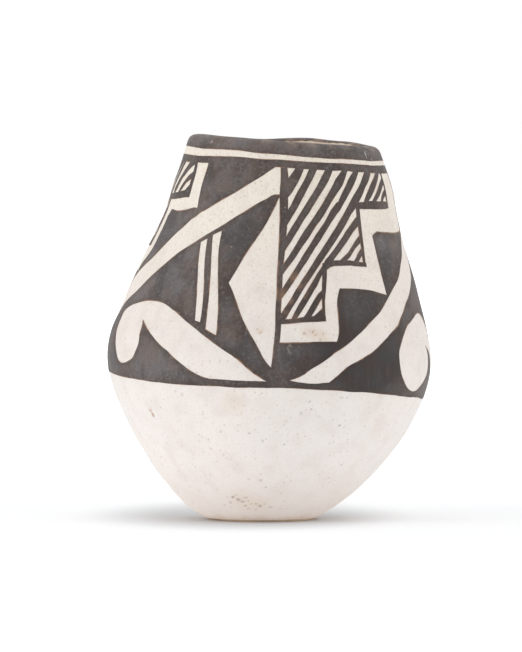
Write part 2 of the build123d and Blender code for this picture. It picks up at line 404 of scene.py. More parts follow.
def cut_level(shape, level):
    """Takes off what lies below a level of the frame, and gives the sides of the cut."""
    cut = bmesh.ops.bisect_plane(
        shape,
        geom=shape.verts[:] + shape.edges[:] + shape.faces[:],
        dist=1e-7,
        plane_co=(0, 0, level),
        plane_no=(0, 0, 1),
        clear_inner=True,
    )
    return [part for part in cut["geom_cut"] if isinstance(part, bmesh.types.BMEdge)]


base = wall_outline()
cut_at_seam(base, BASE_TOP, keep_above=False)
spun(base, CLAY_TURNS)
ripple_inside(base)
set_in_place(base)
sole_face = bmesh.ops.edgeloop_fill(base, edges=cut_level(base, 0))["faces"]
bmesh.ops.inset_region(base, faces=sole_face, thickness=SOLE_INSET * MILLIMETRE)
bmesh.ops.recalc_face_normals(base, faces=base.faces)
finished_piece(base, "base_clay", bare_clay, "clay", "base_bowl")

# Wall coils: seven ropes of the same clay, pinched on one above the other, lapped onto the inside of the
# one below and scraped to an even wall.
for number in range(COILS):
    coil = wall_outline()
    cut_at_seam(coil, BASE_TOP + number * coil_height, keep_above=True)
    cut_at_seam(coil, BASE_TOP + (number + 1) * coil_height, keep_above=False)
    spun(coil, CLAY_TURNS)
    ripple_inside(coil)
    set_in_place(coil)
    finished_piece(coil, f"coil_clay_{number + 1}", bare_clay, "clay", f"wall_coil_{number + 1}")

# Rim coil: the last course, with its lip rounded between finger and thumb.
rim = wall_outline()
cut_at_seam(rim, HEIGHT - RIM_COIL, keep_above=True)
spun(rim, CLAY_TURNS)
set_in_place(rim)
finished_piece(rim, "rim_clay", bare_clay, "clay", "rim_coil")

# White slip: a thin wash of white clay over the outside and the lip, rubbed smooth with a stone before
# firing. It runs out just above the floor, where the foot is worn, and is worn away inside the lip.
SLIP = 0.4
SLIP_INSIDE = 4.9
SLIP_STEP = 1.0
SLIP_TURNS = 240
LIP_WEAR = 0.6
# Heights in the frame, in metres
SLIP_FOOT = 0.0006
CREAM_LOW = 0.03
CREAM_HIGH = 0.1
LOW_DARK_FULL = 0.002
LOW_DARK_START = 0.022
WEAR_LOW = -0.0018
WEAR_HIGH = 0.0006
WEAR_RAGGED = 0.004
SLIP_WHITE = (0.79, 0.736, 0.705, 1)
SLIP_COOL = (0.765, 0.726, 0.706, 1)
SLIP_CREAM = (0.82, 0.752, 0.655, 1)
SLIP_DULL = (0.67, 0.605, 0.565, 1)
BEIGE = (0.66, 0.555, 0.44, 1)
SLIP_LOW_DARK = (0.6, 0.51, 0.445, 1)
SLIP_WORN = (0.5, 0.38, 0.27, 1)
LIP_BARE = (0.64, 0.5, 0.385, 1)
PORE = (0.2, 0.17, 0.15, 1)
GRAIN = (0.48, 0.39, 0.31, 1)
RUST = (0.42, 0.24, 0.15, 1)
lip_reach = WALL / 2 + SLIP
lip_start = lip.y + lip_reach * sin(SHOULDER)
lip_round = pi * lip_reach


def slip_face(along):
    """Radius, height and outward direction of the slip's face, by height and then on over the lip."""
    if along > lip_start + lip_round:
        height = lip_start - 2 * lip_reach * sin(SHOULDER) - (along - lip_start - lip_round)
        return wall_radius(height, -WALL - SLIP), height, -cos(SHOULDER), -sin(SHOULDER)
    if along > lip_start:
        angle = SHOULDER + (along - lip_start) / lip_reach
        return lip.x + lip_reach * cos(angle), lip.y + lip_reach * sin(angle), cos(angle), sin(angle)
    radius = wall_radius(along, SLIP)
    if along > belly.y + (BELLY_BEND + SLIP) * sin(SHOULDER):
        return radius, along, cos(SHOULDER), sin(SHOULDER)
    angle = asin(max(-1.0, (along - belly.y) / (BELLY_BEND + SLIP)))
    return radius, along, cos(angle), sin(angle)


def on_wall(turn, along, proud):
    """A point on the turned jar's slip, or this much proud of it."""
    radius, height, out, up = slip_face(along)
    radius += out * proud
    angle = radians(turn)
    return Vector((radius * sin(angle), -radius * cos(angle), height + up * proud))


# The whole field is drawn a little high on the front, less so towards the lip, and a little narrow there
FRONT_RISE = 0.0403
FRONT_EASE = 0.000466
FRONT_NARROW = 0.000233


def drawn(turn, along):
    """Where a point of the even layout comes to lie."""
    radius = wall_radius(along, SLIP)
    turned = radians(turn)
    narrowed = turn - degrees(FRONT_NARROW * radius * sin(turned))
    return narrowed, along + radius * cos(turned) * (FRONT_RISE - FRONT_EASE * along)


# Stains, grains and pits that stand out on the front: turn, height, radius, strength and colour
SLIP_MARKS = [
    (12, 53, 2.8, 0.45, BEIGE),
    (15.5, 52.8, 3.2, 0.6, BEIGE),
    (18.6, 52.2, 2.8, 0.5, BEIGE),
    (11.4, 52.6, 0.6, 0.8, RUST),
    (13, 53.6, 0.5, 0.7, RUST),
    (14.4, 53.2, 0.6, 0.8, RUST),
    (15.4, 52.3, 0.5, 0.8, RUST),
    (17.2, 51.4, 0.5, 0.7, RUST),
    (18.4, 53, 0.5, 0.6, RUST),
    (-5.5, 52.2, 2.2, 0.45, BEIGE),
    (-6.3, 52.5, 0.5, 0.6, RUST),
    (-4.9, 51.8, 0.6, 0.7, RUST),
    (-12, 31.7, 6, 0.35, BEIGE),
    (-51.5, 27.5, 1, 0.8, RUST),
    (-50.6, 26.5, 0.9, 0.9, RUST),
    (-50.4, 26, 0.6, 0.7, PORE),
    (17.5, 32, 0.7, 0.6, PORE),
    (16.5, 34.2, 0.6, 0.6, PORE),
    (14, 30.6, 0.6, 0.5, PORE),
    (31, 28.2, 0.8, 0.6, PORE),
    (31, 35.9, 0.6, 0.5, PORE),
    (24.5, 33.9, 0.5, 0.5, GRAIN),
    (20, 30.6, 0.6, 0.5, GRAIN),
    (30.5, 23.6, 0.6, 0.4, PORE),
    (8.5, 28.1, 0.6, 0.4, PORE),
    (0, 22.3, 0.6, 0.45, PORE),
    (-17.5, 17.3, 0.6, 0.4, PORE),
    (-22.5, 15.1, 0.6, 0.4, GRAIN),
    (-23.5, 18.6, 0.7, 0.5, GRAIN),
    (-27, 17.6, 0.6, 0.4, GRAIN),
    (-35.5, 33.4, 0.6, 0.5, GRAIN),
    (-32.5, 32.7, 0.6, 0.5, GRAIN),
    (1.5, 11.2, 0.6, 0.6, PORE),
    (5.5, 9.5, 0.6, 0.55, PORE),
    (-15, 43, 0.6, 0.5, GRAIN),
    (-8, 5.6, 6.5, 0.4, BEIGE),
    (-15, 5.8, 0.8, 0.7, PORE),
    (-12.5, 6.6, 0.8, 0.5, GRAIN),
    (-11.5, 5.2, 0.9, 0.65, PORE),
    (-8.5, 4.9, 0.8, 0.7, PORE),
    (-6.5, 6, 0.8, 0.6, GRAIN),
    (-4.5, 5.2, 0.7, 0.6, PORE),
    (-2, 4.3, 0.8, 0.6, GRAIN),
    (2, 4.6, 0.7, 0.6, PORE),
    (-3.5, 3, 0.8, 0.6, GRAIN),
    (4.5, 4.6, 5, 0.35, BEIGE),
    (-22.5, 3.4, 0.8, 0.5, GRAIN),
    (-17.5, 4.3, 0.7, 0.6, PORE),
    (-6.5, 3.7, 0.8, 0.65, PORE),
    (1.5, 3, 0.9, 0.6, GRAIN),
    (4.8, 4, 0.8, 0.6, PORE),
    (7.5, 4.7, 0.8, 0.6, GRAIN),
    (12, 4, 0.7, 0.55, PORE),
    (21, 3.7, 0.7, 0.5, GRAIN),
]
MARK_SHAKE = 0.0009


def tinted(tree, colour, share, amount, tint):
    """A colour with a tint over it, by so much of a share."""
    return mixed(tree, math(tree, "MULTIPLY", share, amount), colour, tint)


def marked(tree, position, colour, marks):
    """Lays stains, grains and chips with ragged edges on a colour, each at its turn and height."""
    shake = uneven(tree, position, 900, 3)[1]
    spread = Vector((1, 1, 1)) * MARK_SHAKE
    shaken = add_node(
        tree, "VectorMath", {0: shake, 1: 2 * spread, 2: position}, operation="MULTIPLY_ADD"
    ).outputs[0]
    for turn, height, radius, strength, tint in marks:
        centre = to_frame @ worked(on_wall(*drawn(turn, height), 0)) + spread
        away = add_node(tree, "VectorMath", {0: shaken, 1: centre}, operation="DISTANCE")
        reach = radius * MILLIMETRE
        share = share_between(tree, away.outputs["Value"], reach, 0.0, strength, "SMOOTHSTEP")
        colour = mixed(tree, share, colour, tint)
    return colour


def length_of(tree, vector):
    """How far a point lies from the middle."""
    return add_node(tree, "VectorMath", {0: vector}, operation="LENGTH").outputs["Value"]


def stood_up(tree, position):
    """Object coordinates on the jar's own axis, without its lean."""
    return add_node(tree, "Mapping", {"Vector": position, "Rotation": (0, -radians(LEAN), 0)}).outputs[0]


white_slip, tree, surface, position = new_material("white_slip")
height = add_node(tree, "SeparateXYZ", {0: position}).outputs[2]
colour = mixed(tree, clouds(tree, position, 30, 3, 0.35, 0.65), SLIP_WHITE, SLIP_COOL)
creamy = share_between(tree, height, CREAM_LOW, CREAM_HIGH)
colour = mixed(tree, creamy, colour, SLIP_CREAM)
# The slip is made darker and browner towards the foot, from about 22 mm down.
low_darkening = share_between(tree, height, LOW_DARK_START, LOW_DARK_FULL, 0.65)
colour = tinted(tree, colour, low_darkening, low_darkening, SLIP_LOW_DARK)
mottle = clouds(tree, position, 210, 4, 0.42, 0.72)
colour = tinted(tree, colour, mottle, 0.42, SLIP_DULL)
grainy = clouds(tree, position, 1700, 3, 0.5, 0.72)
colour = tinted(tree, colour, grainy, 0.55, SLIP_DULL)
handled = math(tree, "MULTIPLY", creamy, clouds(tree, position, 1250, 3, 0.48, 0.7))
colour = tinted(tree, colour, handled, 0.6, BEIGE)
stained = clouds(tree, position, 55, 5, 0.55, 0.8)
colour = tinted(tree, colour, stained, 0.3, BEIGE)
colour = tinted(tree, colour, speckle(tree, position, 1050, 0.34, 0.5), 0.7, GRAIN)
colour = tinted(tree, colour, speckle(tree, position, 640, 0.07, 0.33), 0.6, PORE)
colour = marked(tree, position, colour, SLIP_MARKS)
ragged = math(tree, "MULTIPLY", uneven(tree, position, 260, 5)[0], WEAR_RAGGED)
ragged_height = math(tree, "SUBTRACT", height, ragged)
foot_wear = share_between(tree, ragged_height, WEAR_HIGH, WEAR_LOW, 0.5, "SMOOTHSTEP")
colour = mixed(tree, foot_wear, colour, SLIP_WORN)
across = add_node(
    tree, "VectorMath", {0: stood_up(tree, position), 1: (1, 1, 0)}, operation="MULTIPLY"
).outputs[0]
bare_from = (LIP_R + LIP_WEAR) * MILLIMETRE
bare_to = (LIP_R - LIP_WEAR) * MILLIMETRE
inside_lip = share_between(tree, length_of(tree, across), bare_from, bare_to)
upper_half = math(tree, "GREATER_THAN", height, HEIGHT / 2 * MILLIMETRE)
inside_lip = math(tree, "MULTIPLY", inside_lip, upper_half)
colour = tinted(tree, colour, inside_lip, 0.9, LIP_BARE)
tree.links.new(colour, surface.inputs["Base Color"])
rub_marks = uneven(tree, stretched(tree, position, (60, 60, 420)), 1, 4)[0]
polish = add_node(tree, "MapRange", {"Value": rub_marks, "To Min": 0.42, "To Max": 0.66})
tree.links.new(polish.outputs[0], surface.inputs["Roughness"])
tooth = uneven(tree, position, 1300, 3)[0]
relief = math(tree, "ADD", rub_marks, math(tree, "MULTIPLY", tooth, 0.3))
add_bump(tree, surface, relief, 0.35, 0.00025)

slip = bmesh.new()
end = slip.verts.new((foot_round.x, 0, -SOLE - SLIP))
end = outside_line(slip, end, SLIP, SLIP_STEP)
end = bend_round(slip, end, lip, pi, SLIP_STEP / 2.5)
inner_height = HEIGHT - SLIP_INSIDE
run_to(slip, end, wall_radius(inner_height, -WALL - SLIP), inner_height, SLIP_STEP)
spun(slip, SLIP_TURNS)
if sum(face.normal.dot(face.calc_center_median()) for face in slip.faces) < 0:
    bmesh.ops.reverse_faces(slip, faces=slip.faces)
set_in_place(slip)
cut_level(slip, SLIP_FOOT)
slip.normal_update()
bmesh.ops.solidify(slip, geom=slip.faces[:], thickness=SLIP * MILLIMETRE)
finished_piece(slip, "slip_skin", white_slip, "slip", "white_slip")

# Painted rings: the band over the lip and the lines that close the design above and below, brushed on the
# slip in a brown-black mineral paint. All paint is drawn flat first, as turn, height and thickness, a
# little uneven as a brush leaves it, and then laid round the wall.
PAINT_PROUD = 0.05
PAINT_FILM = 0.14
CAD_PAINT = 0.2
RING_LIFT = 0.01
RIM_BAND = 3.08
RIM_BAND_INSIDE = 0.55
RIM_RAGGED = 0.5
RIM_RAGGED_SIZE = 1.7
RIM_GAP = 1.32
TOP_LINE = 1.8
FIELD_DROP = 5.9
BOTTOM_LINE = 1.3
LINE_LAP = 0.25
DEGREE = radians(1) * BELLY_R
CHART_STEP = 1.4
HAIR = 0.01
DRIFT_SLOW = 0.2
DRIFT_SLOW_SIZE = 7.0
TREMBLE_SEED = 7
DRIFT_FINE = 0.07
DRIFT_FINE_SIZE = 2.3
# Long waves of the lines below and above, and the heights over which they come in
LOW_WAVE = 1.15
LOW_SPAN = (44, 39)
HIGH_TILT = 0.58
HIGH_SAG = 0.4
HIGH_SPAN = (78, 96)
LIP_SPAN = (100.1, 99.3)
# Where paint runs out thin, was outlined first, is faded, or is rubbed off the lip
THIN_RIM = 0.42
THIN_STROKE = 0.24
OUTLINE = 1.7
BESIDE = 0.15
THIN_PATCH = 0.75
THIN_ASIDE = 6
THIN_HEIGHT = 63
THIN_REACH = 6
FADE_MIDDLE = 0.5
FADE_VARIES = 0.3
FADE_SIZE = 16
RUB_BELOW = 0.8
RUB_ABOVE = 0.5
PAINT_NOTES = ("thin", "outline", "fade_and_sheen")
PAINT_EDGE = (0.034, 0.026, 0.022, 1)
PAINT_COOL = (0.04, 0.036, 0.036, 1)
PAINT_COOL_FADED_SHEEN = (0.158, 0.143, 0.14, 1)
PAINT_WARM = (0.042, 0.029, 0.025, 1)
PAINT_WARM_FADED_SHEEN = (0.178, 0.136, 0.121, 1)
PAINT_STREAK = (0.17, 0.155, 0.15, 1)
PAINT_THIN = (0.32, 0.185, 0.115, 1)
PAINT_RUBBED = (0.26, 0.19, 0.15, 1)
CHIP = (0.42, 0.36, 0.31, 1)
BARED = (0.7, 0.66, 0.62, 1)
# Where the paint is faded or dense on the front, which also paints sheen where the light falls on the left
# and upper right and shade low on the right: turn, height, reach in turn and in height, and by how much
FADES_AND_SHEEN = [
    (-55, 66, 26, 30, 0.32),
    (-68, 43, 16, 10, -0.15),
    (-50, 102, 30, 4, 0.45),
    (40, 102, 40, 4, 0.36),
    (35, 52, 20, 16, -0.45),
    (40, 43, 16, 8, -0.3),
    (62, 82, 14, 9, 0.5),
]
# Chips and scratches that stand out on the front: turn, height, radius, strength and colour
PAINT_MARKS = [
    (-49.5, 102.2, 0.6, 0.95, BARED),
    (57, 102.7, 0.5, 0.8, CHIP),
    (56.6, 102.2, 0.5, 0.9, BARED),
    (56.5, 101.6, 0.55, 0.9, BARED),
    (56.4, 101, 0.5, 0.8, CHIP),
    (62, 100.6, 0.6, 0.7, CHIP),
    (5.9, 48.8, 0.55, 0.5, CHIP),
    (6.6, 49.2, 0.5, 0.5, CHIP),
    (5.6, 48.1, 0.5, 0.45, CHIP),
    (6, 47.4, 0.5, 0.45, CHIP),
    (6.8, 47, 0.5, 0.4, CHIP),
]

rim_band_low = HEIGHT - RIM_BAND
top_line_high = rim_band_low - RIM_GAP
field_high = top_line_high - TOP_LINE
field_low = BELLY_HEIGHT - FIELD_DROP
bottom_line_low = field_low - BOTTOM_LINE
lip_crest = lip_start + (pi / 2 - SHOULDER) * lip_reach
rim_band_end = lip_crest + acos(1 - RIM_BAND_INSIDE / lip_reach) * lip_reach

brown_black, tree, surface, position = new_material("brown_black_paint")
thin, outlined, faded_and_sheen = [
    add_node(tree, "Attribute", attribute_name=note).outputs["Fac"] for note in PAINT_NOTES
]
warmth = clouds(tree, position, 125, 5, 0.4, 0.62)
warmth = math(tree, "MAXIMUM", warmth, math(tree, "MULTIPLY", outlined, 1.2))
dense = mixed(tree, warmth, PAINT_COOL, PAINT_WARM)
# The faded colours are lighter. They stand both for faded paint and for a painted sheen.
colour = mixed(tree, faded_and_sheen, dense, mixed(tree, warmth, PAINT_COOL_FADED_SHEEN, PAINT_WARM_FADED_SHEEN))
brush_marks = uneven(tree, stretched(tree, position, (900, 900, 110)), 1, 4)[0]
streak = share_between(tree, brush_marks, 0.5, 0.85, 0.3)
colour = tinted(tree, colour, streak, clouds(tree, position, 75, 3, 0.4, 0.62), PAINT_STREAK)
blotch = clouds(tree, position, 150, 5, 0.4, 0.66)
colour = tinted(tree, colour, blotch, 0.6, dense)
colour = tinted(tree, colour, outlined, 0.45, PAINT_EDGE)
mealy = clouds(tree, position, 1500, 2, 0.48, 0.75)
colour = tinted(tree, colour, mealy, 0.35, PAINT_EDGE)
powdery = math(tree, "MULTIPLY", faded_and_sheen, clouds(tree, position, 1150, 3, 0.5, 0.72))
colour = tinted(tree, colour, powdery, 0.75, PAINT_STREAK)
run_out = share_between(tree, thin, 0.1, 0.7)
colour = tinted(tree, colour, run_out, clouds(tree, position, 210, 5, 0.4, 0.66), PAINT_THIN)
height = add_node(tree, "SeparateXYZ", {0: stood_up(tree, position)}).outputs[2]
rub_from = (HEIGHT - RUB_BELOW) * MILLIMETRE
rub_to = (HEIGHT + RUB_ABOVE) * MILLIMETRE
on_crest = share_between(tree, height, rub_from, rub_to)
colour = tinted(tree, colour, on_crest, clouds(tree, position, 420, 4, 0.42, 0.7), PAINT_RUBBED)
colour = tinted(tree, colour, speckle(tree, position, 620, 0.05, 0.3), 0.6, CHIP)
colour = marked(tree, position, colour, PAINT_MARKS)
tree.links.new(colour, surface.inputs["Base Color"])
surface.inputs["Roughness"].default_value = 0.55
surface.inputs["Specular IOR Level"].default_value = 0.25
grit = uneven(tree, position, 1600, 3)[0]
relief = math(tree, "ADD", brush_marks, math(tree, "MULTIPLY", grit, 0.4))
add_bump(tree, surface, relief, 0.3, 0.0002)

# Where the brush strayed from the even layout on the front: turn, height, reach in turn and in height, and
# the shift in turn and in height
STRAYS = [
    (-80, 76, 8, 8, 5.5, 0),
    (-82, 60.5, 13, 7.5, -6.5, 0),
    (-72, 82, 9.5, 3, 0, 1.05),
    (-54, 82.3, 9.5, 3, 0, 1.1),
    (-47, 81.5, 5, 3, 0, -0.4),
    (-49, 83.3, 4.5, 1.4, 0, 1.35),
    (-24, 88, 18, 9, 0, -0.3),
    (-5.5, 89.5, 3, 2, 0, 0.6),
    (-60, 57, 16, 4.5, 0, -1.15),
    (-62, 40.6, 8, 2.7, 0, 1.5),
    (-73, 44, 4, 4, 1.4, 0),
    (-55, 50.5, 4, 3.5, -1.7, 0.6),
    (-54.5, 45, 4, 3.5, -1.1, 0),
    (-53, 100.6, 9, 1, 0, -0.33),
    (-28, 100.6, 9, 1, 0, 0.18),
    (-55, 99, 8, 0.9, 0, -0.2),
    (-28, 99, 10, 0.9, 0, 0.18),
    (-35, 36.8, 30, 1.2, 0, -0.38),
    (12, 36.8, 18, 1.2, 0, -0.2),
    (-11, 80, 8, 9, 0.4, 0),
    (-6, 48, 6, 6, 1.2, 0),
    (-10, 46, 9, 4, 0, 0.4),
    (-34, 42.5, 8, 3.5, 0, 0.4),
    (-2.2, 73, 1.6, 24, -0.7, 0),
    (15.5, 40.6, 8, 1.9, 0, -1),
    (10, 37, 7, 1.6, 0, 0.3),
    (26, 41, 5, 2.2, 0, 0.35),
    (30, 45.8, 7, 3, 0, 0.5),
    (50, 56, 8, 3, 0, 0.45),
    (55, 54, 5, 3.5, 1.9, 0),
    (82, 90, 7, 8.5, 6.5, 0),
    (74, 74.5, 9, 6.5, 0, -1.7),
    (62, 70.5, 6, 3.5, 0, -0.8),
    (70, 66.5, 5, 3, 0, -0.7),
    (49.5, 81, 3, 2.5, -0.7, 0.3),
    (77, 58.8, 9, 4, 0, 2),
    (66, 41.6, 7, 2.8, 0, -1.5),
    (60, 36.8, 20, 1.2, 0, -0.4),
    (76, 47.5, 6, 6.5, 4.5, 0),
]
# The brush trembles the same way in each run
noise.seed_set(TREMBLE_SEED)


def brushed(turn, along, steady):
    """Where the brush puts a point of the design. A steady one does not stray, and only trembles."""
    spot = on_wall(turn, along, 0)
    slow = noise.noise_vector(spot / DRIFT_SLOW_SIZE)
    fine = noise.noise_vector(spot / DRIFT_FINE_SIZE + Vector((31, 5, 17)))
    turned = radians(turn)
    wave = LOW_WAVE * sin(2 * turned) * ramp(along, *LOW_SPAN)
    tilt = HIGH_TILT * sin(turned) - HIGH_SAG * sin(turned) ** 2
    tilt *= ramp(along, *HIGH_SPAN) * ramp(along, *LIP_SPAN)
    by_turn = (DRIFT_SLOW * slow.x + DRIFT_FINE * fine.x) / DEGREE
    by_along = DRIFT_SLOW * slow.y + DRIFT_FINE * fine.y
    by_along += wave + tilt
    if along > lip_crest:
        by_along += RIM_RAGGED * noise.noise(spot / RIM_RAGGED_SIZE)
    if not steady:
        front_turn = turn_from(0, turn)
        for at_turn, at_along, wide, tall, stray_turn, stray_along in STRAYS:
            share = exp(-(((front_turn - at_turn) / wide) ** 2) - ((along - at_along) / tall) ** 4)
            by_turn += share * stray_turn
            by_along += share * stray_along
    return drawn(turn + by_turn, along + by_along)


def cut_to_grid(sheet):
    """Divides a flat sheet finely enough to bend round the wall."""
    for axis in (0, 1):
        reach = [corner.co[axis] for corner in sheet.verts]
        line = ceil(min(reach) / CHART_STEP + HAIR)
        across = Vector((1 - axis, axis, 0))
        while line * CHART_STEP < max(reach) - HAIR:
            bmesh.ops.bisect_plane(
                sheet,
                geom=sheet.verts[:] + sheet.edges[:] + sheet.faces[:],
                dist=1e-5,
                plane_co=across * line * CHART_STEP,
                plane_no=across,
            )
            line += 1


def free_sides(sheet, cover):
    """The sides of a flat sheet of paint beside which no more paint goes on."""
    full_turn = Vector((360 * DEGREE, 0, 0))
    free = []
    for side in sheet.edges:
        if not side.is_boundary:
            continue
        middle = (side.verts[0].co + side.verts[1].co) / 2
        along = (side.verts[1].co - side.verts[0].co).normalized()
        beside = Vector((along.y, -along.x, 0))
        if beside.dot(middle - side.link_faces[0].calc_center_median()) < 0:
            beside = -beside
        spot = middle + beside * BESIDE + Vector((0, 0, 1))
        hits = [cover.ray_cast(spot + full_turn * n, Vector((0, 0, -1)))[0] for n in (-1, 0, 1)]
        if not any(hits):
            free.append(side)
    return free


def mark_paint(sheet, cover):
    """Notes for the finish where the paint runs out thin, was outlined first, and is faded, the fade also
    carrying painted sheen and shade.
    """
    notes = sheet.verts.layers.float
    for note in PAINT_NOTES:
        notes.new(note)
    thin, outline, fade_and_sheen = [notes[note] for note in PAINT_NOTES]
    rims = {corner for side in free_sides(sheet, cover) for corner in side.verts}
    edges = KDTree(len(rims))
    for number, corner in enumerate(sorted(rims, key=lambda part: part.index)):
        edges.insert(corner.co, number)
        corner[thin] = 1
    edges.balance()
    for corner in sheet.verts:
        turn = corner.co.x / DEGREE
        height = corner.co.y
        if rims:
            corner[outline] = max(0.0, 1 - edges.find(corner.co)[2] / OUTLINE)
        for bar in BAR_TURNS:
            aside = turn_from(bar + THIN_ASIDE, turn) / THIN_REACH
            above = (height - THIN_HEIGHT) / THIN_REACH
            corner[thin] += THIN_PATCH * exp(-(aside**2) - above**2)
        corner[fade_and_sheen] = FADE_MIDDLE + FADE_VARIES * noise.noise(on_wall(turn, height, 0) / FADE_SIZE)
        # Patches of the fade, which paint sheen and shade as well as fading.
        for at_turn, at_height, wide, tall, amount in FADES_AND_SHEEN:
            aside = turn_from(at_turn, turn) / wide
            above = (height - at_height) / tall
            corner[fade_and_sheen] += amount * exp(-(aside**2) - above**2)


def lay_on(sheet, steady, ring):
    """Gives a flat sheet of paint its thickness and lays it round the wall, where a ring meets itself."""
    sheet.normal_update()
    level = max(corner.co.z for corner in sheet.verts)
    bmesh.ops.solidify(sheet, geom=sheet.faces[:], thickness=PAINT_FILM)
    rise = max(corner.co.z for corner in sheet.verts) - level
    if ring:
        far = 180 * DEGREE - HAIR
        ends = [face for face in sheet.faces if all(abs(corner.co.x) > far for corner in face.verts)]
        bmesh.ops.delete(sheet, geom=ends, context="FACES_ONLY")
    for corner in sheet.verts:
        turn, along = brushed(corner.co.x / DEGREE, corner.co.y, steady)
        corner.co = on_wall(turn, along, PAINT_PROUD + corner.co.z - rise)
    if ring:
        bmesh.ops.remove_doubles(sheet, verts=sheet.verts, dist=1e-3)
    set_in_place(sheet)


def unrolled(name, middle):
    """The outer face of a painted CAD node, laid flat: across by turn, and up by height."""
    sheet = bmesh.new()
    sheet.from_mesh(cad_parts[name].data)
    bmesh.ops.remove_doubles(sheet, verts=sheet.verts, dist=1e-7)
    bmesh.ops.transform(sheet, matrix=to_frame.inverted(), verts=sheet.verts)
    under = set()
    for corner in sheet.verts:
        if hypot(corner.co.x, corner.co.y) < wall_radius(corner.co.z, SLIP + CAD_PAINT / 2):
            under.add(corner)
    bmesh.ops.delete(sheet, geom=list(under), context="VERTS")
    for corner in sheet.verts:
        turn = degrees(atan2(corner.co.x, -corner.co.y))
        turn = middle + (turn - middle + 180) % 360 - 180
        corner.co = (turn * DEGREE, corner.co.z, 0)
    inner = [side for side in sheet.edges if not side.is_boundary]
    bmesh.ops.delete(sheet, geom=sheet.faces[:], context="FACES_ONLY")
    bmesh.ops.delete(sheet, geom=inner, context="EDGES")
    loose = [corner for corner in sheet.verts if not corner.link_edges]
    bmesh.ops.delete(sheet, geom=loose, context="VERTS")
    bmesh.ops.triangle_fill(sheet, use_beauty=True, edges=sheet.edges[:], normal=(0, 0, 1))
    return sheet


def turn_up(sheet):
    """Turns the faces of a flat sheet upwards."""
    sheet.normal_update()
    bmesh.ops.reverse_faces(sheet, faces=[face for face in sheet.faces if face.normal.z < 0])


def part_rim(sheet, width):
    """Parts a narrow rim along the edges of a flat sheet, where the paint runs out."""
    turn_up(sheet)
    bmesh.ops.inset_region(sheet, faces=sheet.faces[:], thickness=width, use_boundary=True)
    turn_up(sheet)


def ring_sheet(low, high):
    """A flat strip of paint that goes all the way round."""
    sheet = bmesh.new()
    columns = 2 * ceil(180 * DEGREE / CHART_STEP)
    rows = max(2, ceil((high - low) / CHART_STEP * 2))
    bmesh.ops.create_grid(sheet, x_segments=columns, y_segments=rows, size=1)
    bmesh.ops.scale(sheet, vec=(180 * DEGREE, (high - low) / 2, 1), verts=sheet.verts)
    bmesh.ops.translate(sheet, vec=(0, (high + low) / 2, RING_LIFT), verts=sheet.verts)
    return sheet


# The bars, the ground and the hatching are drawn before any paint is laid, because a stroke runs out thin
# only where no other paint lies beside it.
BAR_TURNS = (0, 128.5, 231.5)
WIDE_PANEL = 128.5
SLANT_LIFT = 0.02
TREAD_LIFT = 0.03
RISER_LIFT = 0.04

# Slanting strokes of the hatched steps, each by its upper and lower edge at a few turns from the bar. The
# first ones are alike in all repeats.
SLANTS = [
    [(0.5, 93.4, 88.4), (1.6, 94.4, 89), (4, 96, 90.6), (7, 98.1, 93.8), (9.9, 98.4, 96.7),
     (10.8, 98.4, 97.5)],
    [(0.5, 84, 80.2), (2, 85.7, 81.6), (7, 91.3, 86.7), (13, 96.9, 92.9), (16, 98.1, 95.5),
     (18.2, 98.3, 97.3)],
    [(0.5, 77, 72.9), (2, 78.7, 74.7), (4, 81, 76.9), (10, 86.8, 83.2), (16, 91.8, 88.2),
     (20, 95.2, 91.4), (24, 97.9, 94.4), (27.2, 98.3, 97)],
    [(0.5, 70, 67.2), (2, 71.5, 68.4), (4, 73.7, 70.4), (10, 80.1, 76.4), (16, 85.2, 81.7),
     (20, 88.3, 84.8), (24, 91.6, 88), (28, 94.7, 90.9), (32, 96.5, 93.2), (36, 98.1, 96.2),
     (37.3, 98.3, 97.1)],
    [(0.5, 62.6, 60.4), (2, 64.6, 61.7), (4, 67, 63.9), (10, 73.9, 70.5), (16, 79.7, 76.4),
     (20, 82.9, 79.8), (24, 86.4, 83.2), (27.5, 88.5, 85.6), (28.9, 88.9, 86.3), (29.3, 89.5, 86.5),
     (32, 91.7, 88.5), (36, 94.6, 91.2), (39, 96.1, 93.1), (44, 98.1, 96.2), (45.6, 98.3, 97.2)],
    [(10.2, 56.5, 55.5), (11.5, 57.9, 56), (13, 59.8, 56.6), (16, 63.2, 60), (18, 64.6, 62.2),
     (19, 65, 63)],
    [(14.2, 57.2, 56.4), (16, 58.4, 56.8), (18, 59.8, 57.3), (19, 60.2, 57.6)],
]
LOW_TREAD = [(0.8, 56, 54.5), (4, 56.1, 54.8), (10, 56.9, 55.5), (16, 57.6, 56), (19.4, 57.9, 56.4)]
# Risers are given by their left and right edge at a few heights
LOW_RISER = [(56.7, 17.9, 19.2), (61.7, 18, 19.3), (64.7, 18.1, 19.8), (70, 18.3, 20.4), (72, 18.6, 21)]

# How the two strokes that climb from the lowest step begin in all repeats
FIRST_CLIMB = [
    (0.7, 55.9, 54.9), (2, 57.6, 55.6), (4, 60.1, 56.3), (7, 64.1, 60.6), (10, 67.5, 64.2),
    (16, 73.4, 70.2), (20, 77, 73.7), (28, 83.4, 80),
]
SECOND_CLIMB = [(6.2, 56.6, 55.4), (7, 58.1, 55.6), (8.5, 60.4, 57), (10, 62.2, 58.9), (16, 69, 65.6)]

